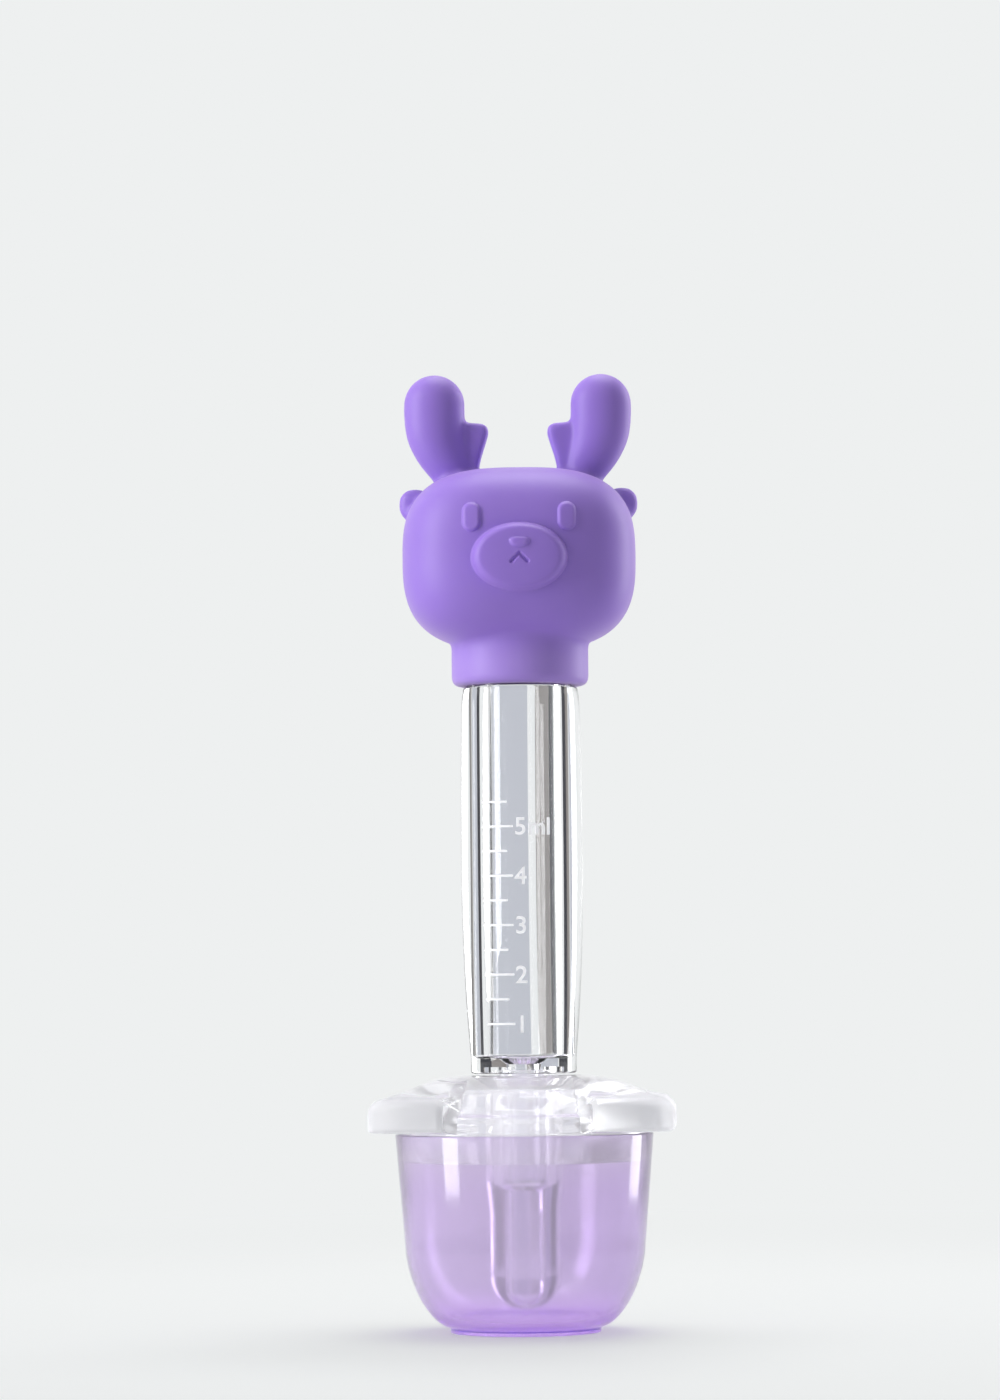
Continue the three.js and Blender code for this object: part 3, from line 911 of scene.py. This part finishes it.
bulb = {
    "lip": bulbLow.z / mm,
    "centre": bulbLow.z / mm + 22.6,
    "half": (20.7, 17.6, 16.1),
    "power": 2.9,
    "wall": 2.2,
    "neck": 12.15,
    "neckBore": 9.7,
    "neckTop": 9.2,
    "lipRound": 1.4,
    "neckTurns": 96,
    "voxel": 0.42,
    "smoothing": (0.5, 6),
    "blend": (0.3, 0.12),  # how far off the block skin is left, and is brought back to it
    "hollow": {"below": -8, "aboveLip": 3, "reach": 1.3, "smoothing": (0.5, 14)},
}
face = {
    "snout": {"half": (8.5, 6.1), "height": 2.4, "step": 0.75, "edge": 1.5, "centre": (0, -1.1)},
    "eye": {"half": (1.65, 2.65), "height": 0.55, "edge": 0.85, "apart": 16.7, "above": 6.05},
    "nose": {
        "half": (2.1, 0.95), "height": 0.45, "edge": 0.6, "above": 1.3,
        "narrowing": 0.16, "power": 2.6,
    },
    "mouth": {"apex": -0.65, "foot": (1.4, -2.05), "depth": 0.4, "width": (0.45, 0.05)},
    "front": -12,
    "halfWidth": 12,
    "fine": [(11.2, -7, 12), (10.6, -6.4, 11)],  # half width, low, high
}
antlerDepth = 0.84  # of its width
antlerBack = 1.2
antler = [
    # out, above the head's centre, radius
    (10.4, 11.4, 3.3),
    (11.0, 13.5, 3.4),
    (11.85, 16.2, 3.95),
    (13.65, 19.9, 4.8),
    (14.6, 23.0, 5.3),
    (14.85, 26.2, 5.42),
    (14.85, 27.85, 5.42),
]
tine = {
    "outline": [(7.6, 13.0), (7.2, 15.6), (6.5, 18.6), (5.6, 21.4), (5.15, 22.9), (5.5, 24.0),
                (6.4, 24.45), (9.6, 24.7), (12.0, 22.0), (11.5, 13.0)],
    "thickness": 4.2,
    "back": 1.4,
    "edge": 0.9,
}
ear = {
    "radius": 2.9,
    "out": 18.4,
    "above": 10.0,
    "back": 1.6,
    "thickness": 3.4,
    "dish": (1.85, 1.35, 1.85),
    "dishIn": 0.5,
    "dishOut": 0.7,
}


# a cube, subdivided and swelled until |x/a|^p + |y/b|^p + |z/c|^p = 1
def makeRoundedBlock(name, half, power, centre, cuts):
    deselectAll()
    bpy.ops.mesh.primitive_cube_add(size=2)
    piece = named(name)
    editMode(piece)
    bpy.ops.mesh.subdivide(number_cuts=cuts)
    objectMode()
    for vertex in piece.data.vertices:
        direction = Vector([math.tan(c * math.pi / 4) for c in vertex.co])
        total = sum(abs(c / h) ** power for c, h in zip(direction, half))
        vertex.co = (direction * total ** (-1 / power) + Vector(centre)) * mm
    return cleanUp(piece)


# a ring extruded along a bent line, closed by a round end
def makeAntler(side):
    deselectAll()
    sides = 48
    bpy.ops.mesh.primitive_circle_add(vertices=sides, radius=mm, fill_type="NGON")
    piece = named("Antler")
    editMode(piece)
    line = through(antler, 4)
    rings = [Vector((o, 0, a)) for o, a, _ in line]
    sizes = [r for _, _, r in line]
    lines = [(b - a).normalized() for a, b in zip(rings, rings[1:])]
    facing = [lines[0], *[(a + b).normalized() for a, b in zip(lines, lines[1:])], lines[-1]]
    last, end, size = lines[-1], rings[-1], sizes[-1]
    endSteps = 10
    for i in range(1, endSteps):
        a = math.pi / 2 * i / endSteps
        rings.append(end + last * size * math.sin(a))
        sizes.append(size * math.cos(a))
        facing.append(last)
    for i in range(1, len(rings)):
        bpy.ops.mesh.extrude_region_move(TRANSFORM_OT_translate={"value": (0, 0, mm)})
    objectMode()
    for ring, (place, size, towards) in enumerate(zip(rings, sizes, facing)):
        across = Vector((towards.z, 0, -towards.x))
        for i in range(sides):
            a = 2 * math.pi * i / sides
            point = place + across * size * math.cos(a)
            point.y += size * antlerDepth * math.sin(a) + antlerBack
            point.x *= side
            piece.data.vertices[ring * sides + i].co = point * mm
    return cleanUp(piece)


# a flat fin drawn in X and Z, given its thickness and a soft edge
def makeTine(side):
    deselectAll()
    outline = tine["outline"]
    bpy.ops.mesh.primitive_circle_add(vertices=len(outline), radius=mm, fill_type="NGON")
    piece = named("Tine")
    front = tine["back"] - tine["thickness"] / 2
    for vertex, (out, above) in zip(piece.data.vertices, outline):
        vertex.co = Vector((side * out, front, above)) * mm
    editMode(piece)
    bpy.ops.mesh.extrude_region_move(
        TRANSFORM_OT_translate={"value": (0, tine["thickness"] * mm, 0)}
    )
    objectMode()
    cleanUp(piece)
    return modify(piece, "BEVEL", width=tine["edge"] * mm, segments=4, limit_method="ANGLE",
                  angle_limit=math.radians(50))


def makeEar(side):
    centre = (side * ear["out"], ear["back"], ear["above"])
    disc = makeRoundedBlock(
        "Ear", (ear["radius"], ear["thickness"] / 2, ear["radius"]), 2.3, centre, 23
    )
    front = ear["back"] - ear["thickness"] / 2 - ear["dishOut"]
    centre = (side * (ear["out"] - ear["dishIn"]), front, ear["above"])
    dish = makeRoundedBlock("Dish", ear["dish"], 2.0, centre, 23)
    return combine(disc, dish, "DIFFERENCE")


# how far a point lies from a line between two ends, for the mouth's strokes
def distanceToLine(x, z, x0, z0, x1, z1):
    along = ((x - x0) * (x1 - x0) + (z - z0) * (z1 - z0)) / ((x1 - x0) ** 2 + (z1 - z0) ** 2)
    along = min(max(along, 0), 1)
    return math.hypot(x - x0 - (x1 - x0) * along, z - z0 - (z1 - z0) * along)


# steep at its edge, level at its middle
def domed(share):
    return 1 - (1 - min(max(share, 0), 1)) ** 3


# how far the face stands out at a point, for its snout, eyes, nose and mouth
def faceRelief(x, z):
    snout, eye, nose, mouth = face["snout"], face["eye"], face["nose"], face["mouth"]
    px, pz = x - snout["centre"][0], z - snout["centre"][1]
    reach = math.hypot(px / snout["half"][0], pz / snout["half"][1])
    inward = (1 - reach) * min(snout["half"])
    step = snout["step"]
    out = snout["height"] * (step * domed(inward / snout["edge"])
                             + (1 - step) * math.sqrt(max(0, 1 - reach**2)))
    ex, ez = abs(x) - eye["apart"] / 2, z - eye["above"]
    straight = eye["half"][1] - eye["half"][0]
    inward = eye["half"][0] - math.hypot(ex, max(abs(ez) - straight, 0))
    out += eye["height"] * domed(inward / eye["edge"])
    nx, nz = abs(x), z - nose["above"]
    halfWidth, halfHeight = nose["half"]
    width = max(1 - nose["narrowing"] * (1 - nz / halfHeight), 0.1)
    across, along = abs(nx / (halfWidth * width)), abs(nz / halfHeight)
    edge = (across ** nose["power"] + along ** nose["power"]) ** (1 / nose["power"])
    out += nose["height"] * domed((1 - edge) * halfHeight / nose["edge"])
    footX, footZ = mouth["foot"]
    away = distanceToLine(abs(x), z, 0, mouth["apex"], footX, footZ)
    out -= mouth["depth"] * easeBetween(*mouth["width"], away)
    return out


# how much larger than the head's block the same block through a point is
def swellAt(point):
    power = bulb["power"]
    return sum(abs(c / h) ** power for c, h in zip(point, bulb["half"])) ** (1 / power)


# turns remeshed skin back to the exact rounded block where nothing joins it
def trueUp(piece):
    for vertex in piece.data.vertices:
        point = vertex.co / mm
        swell = swellAt(point)
        share = easeBetween(*bulb["blend"], abs(swell - 1) * point.length)
        vertex.co = point * mm * (1 + (1 / swell - 1) * share)


# a soft hollow where the neck's sleeve meets the head
def softenNeck(piece, lip):
    editMode(piece, "DESELECT")
    objectMode()
    hollow = bulb["hollow"]
    for vertex in piece.data.vertices:
        point = vertex.co / mm
        offHead = abs(swellAt(point) - 1) * point.length
        offNeck = abs(math.hypot(point.x, point.y) - bulb["neck"])
        vertex.select = (
            lip + hollow["aboveLip"] < point.z < hollow["below"]
            and max(offHead, offNeck) < hollow["reach"]
        )
    bpy.ops.object.mode_set(mode="EDIT")
    factor, times = hollow["smoothing"]
    bpy.ops.mesh.vertices_smooth(factor=factor, repeat=times)
    objectMode()


# splits each quad in four where the features of the face will stand out
def refineFace(piece, halfWidth, low, high):
    editMode(piece, "DESELECT")
    objectMode()
    for polygon in piece.data.polygons:
        x, y, z = polygon.center / mm
        polygon.select = (
            abs(x) < halfWidth and low < z < high and y < face["front"]
            and polygon.normal.y < -0.3
        )
    bpy.ops.object.mode_set(mode="EDIT")
    bpy.ops.mesh.select_mode(type="FACE")
    bpy.ops.mesh.subdivide(number_cuts=1)
    bpy.ops.mesh.select_mode(type="VERT")
    objectMode()


def makeBulb():
    half = bulb["half"]
    head = makeRoundedBlock("SqueezeBulb", half, bulb["power"], (0, 0, 0), 39)
    lip = bulb["lip"] - bulb["centre"]
    edge = bulb["lipRound"]
    neckTop = lip + bulb["neckTop"]
    sleeve = spinOutline(
        "Sleeve",
        [
            (0, lip),
            *arc(bulb["neck"] - edge, lip + edge, edge, edge, -90, 0, 6),
            (bulb["neck"], neckTop + 1),
            (0, neckTop + 1),
        ],
        bulb["neckTurns"],
    )
    combine(head, sleeve, "UNION")
    for side in (-1, 1):
        combine(head, makeAntler(side), "UNION")
        combine(head, makeTine(side), "UNION")
        combine(head, makeEar(side), "UNION")
    modify(head, "REMESH", mode="VOXEL", voxel_size=bulb["voxel"] * mm)
    factor, times = bulb["smoothing"]
    modify(head, "SMOOTH", factor=factor, iterations=times)
    trueUp(head)
    softenNeck(head, lip)
    for halfWidth, low, high in face["fine"]:
        refineFace(head, halfWidth, low, high)
    for vertex in head.data.vertices:
        x, y, z = vertex.co / mm
        if y < face["front"] and abs(x) < face["halfWidth"]:
            vertex.co.y -= faceRelief(x, z) * mm
    inner = tuple(h - bulb["wall"] for h in half)
    cavity = makeRoundedBlock("Cavity", inner, bulb["power"], (0, 0, 0), 23)
    bore = spinOutline(
        "Bore",
        [(0, lip - 1), (bulb["neckBore"], lip - 1), (bulb["neckBore"], neckTop), (0, neckTop)],
        bulb["neckTurns"],
    )
    combine(cavity, bore, "UNION")
    combine(head, cavity, "DIFFERENCE")
    head.data.transform(Matrix.Translation((0, 0, bulb["centre"] * mm)))
    smooth(head, 60)
    finishPiece(head, "bulb", [lilacSilicone], "squeeze_bulb")


makeCup()
print("cup made")
makeShield()
print("shield made")
makeBarrel()
makeScale()
print("barrel made")
makeBulb()
print("bulb made")


studio = {
    "eye": (-3.61 * mm, -830 * mm, 60 * mm),
    "pitch": 3.5505,
    "roll": -0.53,
    "lens": 120.4,
    "pale": (0.855, 0.871, 0.871),
    "floorRadius": 0.45,
    "floorGlow": 0.28,
    "fade": (0.02, 0.75),
    "backdropRadius": 3.0,
    "world": (0.86, 0.875, 0.88),
    "worldStrength": 0.36,
    "bounces": 28,  # enough to see through four clear walls, one behind the other
    "cardHeight": 0.4,
}
lamps = {
    # place, what it is aimed at, width and height, power
    "LeftSoftbox": ((-0.53, -0.2, 0.28), (0, 0, 0.11), (0.18, 0.6), 3.4),
    "RightSoftbox": ((0.5, 0.27, 0.24), (0, 0, 0.1), (0.19, 0.6), 1.9),
    "TopLight": ((0.05, 0.16, 0.78), (0, 0, 0.05), (0.4, 0.4), 2.6),
}
cards = {
    # degrees to the right, distance, width, colour
    "CentreCard": (-12, 0.3, 0.17, (0.5, 0.52, 0.58)),
    "RightShade": (19, 0.3, 0.11, (0.24, 0.22, 0.21)),
    "RightFlag": (34, 0.28, 0.08, (0.01, 0.01, 0.02)),
    "LeftFlag": (-36, 0.28, 0.07, (0.02, 0.02, 0.03)),
}


# a material that only shines, so that what wears it is as pale or dark as its colour
def glowing(name, colour):
    material = bpy.data.materials.new(name)
    material.use_nodes = True
    nodes, links = material.node_tree.nodes, material.node_tree.links
    glow = nodes.new("ShaderNodeEmission")
    glow.inputs["Color"].default_value = (*colour, 1)
    links.new(glow.outputs["Emission"], nodes["Material Output"].inputs["Surface"])
    return material


# the pale floor fades into an even backdrop that surrounds it
def makeFloor():
    deselectAll()
    bpy.ops.mesh.primitive_circle_add(
        vertices=96, radius=studio["floorRadius"], fill_type="NGON"
    )
    floor = named("Floor")
    material = bpy.data.materials.new("PaleFloor")
    material.use_nodes = True
    nodes, links = material.node_tree.nodes, material.node_tree.links
    shader = nodes["Principled BSDF"]
    shader.inputs["Base Color"].default_value = (0.84, 0.85, 0.845, 1)
    shader.inputs["Roughness"].default_value = 0.7
    shader.inputs["Specular IOR Level"].default_value = 0.2
    shader.inputs["Emission Color"].default_value = (*studio["pale"], 1)
    shader.inputs["Emission Strength"].default_value = studio["floorGlow"]
    glow = nodes.new("ShaderNodeEmission")
    glow.inputs["Color"].default_value = (*studio["pale"], 1)
    place = nodes.new("ShaderNodeTexCoord")
    ring = nodes.new("ShaderNodeTexGradient")
    ring.gradient_type = "SPHERICAL"
    spread = nodes.new("ShaderNodeMapping")
    spread.inputs["Scale"].default_value = [1 / studio["floorRadius"]] * 3
    fade = nodes.new("ShaderNodeMapRange")
    fade.interpolation_type = "SMOOTHSTEP"
    fade.inputs["From Min"].default_value = studio["fade"][0]
    fade.inputs["From Max"].default_value = studio["fade"][1]
    mix = nodes.new("ShaderNodeMixShader")
    links.new(place.outputs["Object"], spread.inputs["Vector"])
    links.new(spread.outputs["Vector"], ring.inputs["Vector"])
    links.new(ring.outputs["Fac"], fade.inputs["Value"])
    links.new(fade.outputs["Result"], mix.inputs["Fac"])
    links.new(glow.outputs["Emission"], mix.inputs[1])
    links.new(shader.outputs["BSDF"], mix.inputs[2])
    links.new(mix.outputs["Shader"], nodes["Material Output"].inputs["Surface"])
    floor.data.materials.append(material)
    return floor


def makeBackdrop():
    deselectAll()
    bpy.ops.mesh.primitive_uv_sphere_add(
        segments=64, ring_count=32, radius=studio["backdropRadius"]
    )
    backdrop = named("Backdrop")
    backdrop.data.materials.append(glowing("PaleBackdrop", studio["pale"]))
    backdrop.visible_diffuse = False
    backdrop.visible_shadow = False


def makeLight(name, place, aim, size, power):
    deselectAll()
    bpy.ops.object.light_add(type="AREA", location=place)
    light = bpy.context.object
    light.name = name
    light.data.shape = "RECTANGLE"
    light.data.size, light.data.size_y = size
    light.data.energy = power
    light.rotation_euler = (Vector(aim) - Vector(place)).to_track_quat("-Z", "Y").to_euler()
    return light


# a card behind the dropper, at an angle to the right, that only its clear pieces see
def makeCard(name, angle, distance, width, colour):
    deselectAll()
    a = math.radians(angle)
    height = studio["cardHeight"]
    place = (distance * math.sin(a), distance * math.cos(a), height / 2)
    bpy.ops.mesh.primitive_plane_add(size=1, location=place, rotation=(math.pi / 2, 0, -a))
    card = named(name)
    card.scale = (width, height, 1)
    settle(card)
    card.data.materials.append(glowing(name, colour))
    card.visible_camera = False
    card.visible_diffuse = False
    card.visible_glossy = False
    card.visible_shadow = False


def makeStudio():
    floor = makeFloor()
    makeBackdrop()
    floorAlone = bpy.data.collections.new("FloorAlone")
    floorAlone.objects.link(floor)
    floorAlone.collection_objects[0].light_linking.link_state = "EXCLUDE"
    for name, look in lamps.items():
        light = makeLight(name, *look)
        if "Softbox" in name:  # the floor's shadow comes from the top light alone
            light.light_linking.receiver_collection = floorAlone
    for name, look in cards.items():
        makeCard(name, *look)
    scene = bpy.context.scene
    scene.world = bpy.data.worlds.new("Studio")
    scene.world.use_nodes = True
    background = scene.world.node_tree.nodes["Background"]
    background.inputs["Color"].default_value = (*studio["world"], 1)
    background.inputs["Strength"].default_value = studio["worldStrength"]
    scene.view_settings.view_transform = "Standard"
    scene.cycles.max_bounces = studio["bounces"]
    scene.cycles.transmission_bounces = studio["bounces"]
    scene.cycles.transparent_max_bounces = studio["bounces"]
    scene.cycles.caustics_reflective = False
    scene.cycles.caustics_refractive = False


def makeCamera():
    deselectAll()
    bpy.ops.object.camera_add(location=studio["eye"])
    camera = bpy.context.object
    camera.name = "Camera"
    camera.data.lens = studio["lens"]
    camera.data.sensor_width = 36
    camera.data.clip_start = 0.01
    tilt = Matrix.Rotation(math.radians(90 + studio["pitch"]), 4, "X")
    roll = Matrix.Rotation(math.radians(studio["roll"]), 4, "Z")
    camera.rotation_euler = (tilt @ roll).to_euler()
    bpy.context.scene.camera = camera


makeStudio()
makeCamera()
print("studio made")
